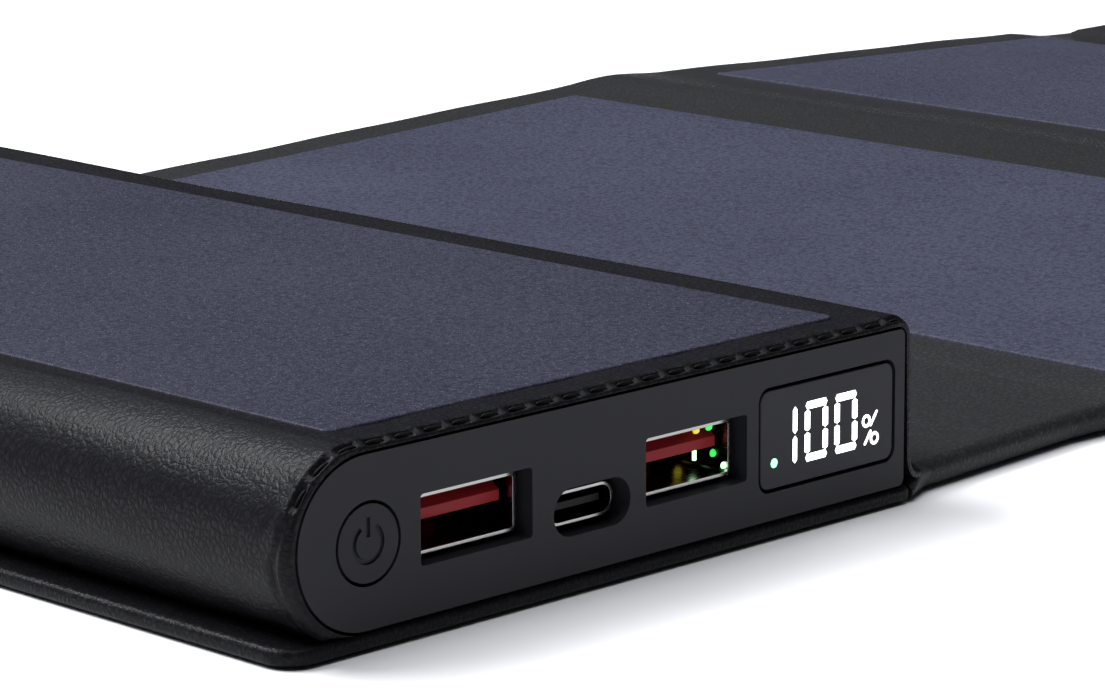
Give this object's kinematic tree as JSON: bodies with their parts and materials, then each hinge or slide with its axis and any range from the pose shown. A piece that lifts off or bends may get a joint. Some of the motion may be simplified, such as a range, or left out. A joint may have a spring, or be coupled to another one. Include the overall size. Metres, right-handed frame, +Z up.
{
  "type": "folding solar power bank",
  "caption": "Leather-bound power bank with a port face, charge display and power key; a solar panel sits on its body and more fold out flat beside it on soft hinges.",
  "frame": {"origin": "on the flat underside of the base board, below the centre of the battery body", "axes": "+Z up; +X along the port face towards the fold-out panels; +Y from the port face to the rear"},
  "size_m": [0.4317, 0.18, 0.0197],
  "materials": {
    "leather": "grained",
    "moulding": "matte",
    "laminate": "fine texture",
    "steel": "nickel plated",
    "red_tongue": "satin",
    "dark_tongue": "satin",
    "window": "smoked",
    "display": "dark",
    "green_lamp": "tinted",
    "circuit": "solder mask",
    "ferrite": "moulded",
    "chip": "moulded",
    "capacitor": "sleeved",
    "cell": "foil pouch",
    "foam": "closed cell",
    "stiffener": "fibreboard"
  },
  "bodies": {
    "body": {"base_board": "leather", "leather_sleeve": "leather", "housing": "moulding", "front_cap": "moulding", "rear_cap": "moulding", "tact_switch": "chip", "usb_a_shell_left": "steel", "usb_a_tongue_left": "red_tongue", "usb_a_shell_right": "steel", "usb_a_tongue_right": "red_tongue", "usb_c_shell": "steel", "usb_c_tongue": "dark_tongue", "display_window": "window", "display_module": "display", "status_led": "green_lamp", "main_board": "circuit", "inductor": "ferrite", "power_chip": "chip", "capacitor_left": "capacitor", "capacitor_right": "capacitor", "protection_board": "circuit", "battery_cell_left": "cell", "battery_cell_right": "cell", "foam_pad": "foam", "solar_panel_1": "laminate", "hinge_a_base_strip": "leather"},
    "button": {"power_button": "moulding"},
    "spine": {"spine_back": "leather", "spine_board": "stiffener", "spine_top": "leather", "hinge_a_spine_strip": "leather", "hinge_b_spine_strip": "leather"},
    "leaf_2": {"leaf_2_back": "leather", "leaf_2_board": "stiffener", "leaf_2_frame": "leather", "solar_panel_2": "laminate", "hinge_b_leaf_strip": "leather", "hinge_c_near_strip": "leather"},
    "leaf_3": {"leaf_3_back": "leather", "leaf_3_board": "stiffener", "leaf_3_frame": "leather", "solar_panel_3": "laminate", "hinge_c_far_strip": "leather", "hinge_d_near_strip": "leather"},
    "leaf_4": {"leaf_4_back": "leather", "leaf_4_board": "stiffener", "leaf_4_frame": "leather", "solar_panel_4": "laminate", "hinge_d_far_strip": "leather"}
  },
  "joints": [
    {"name": "button_press", "type": "slide", "parent": "body", "child": "button", "axis": [0, 1, 0], "range_m": [0, 0.0005], "stiffness_N_per_m": 1500},
    {"name": "hinge_a", "type": "hinge", "parent": "body", "child": "spine", "pos_m": [0.0481, 0, 0.0032], "axis": [0, -1, 0], "range_deg": [0, 90]},
    {"name": "hinge_b", "type": "hinge", "parent": "spine", "child": "leaf_2", "pos_m": [0.0776, 0, 0.0043], "axis": [0, -1, 0], "range_deg": [0, 87.6]},
    {"name": "hinge_c", "type": "hinge", "parent": "leaf_2", "child": "leaf_3", "pos_m": [0.1856, 0, 0.0091], "axis": [0, -1, 0], "range_deg": [0, 183]},
    {"name": "hinge_d", "type": "hinge", "parent": "leaf_3", "child": "leaf_4", "pos_m": [0.2926, 0, -0.0003], "axis": [0, -1, 0], "range_deg": [-181, 0]}
  ],
  "couplings": [
    {"joint": "hinge_d", "follows": "hinge_c", "ratio": -0.987}
  ]
}
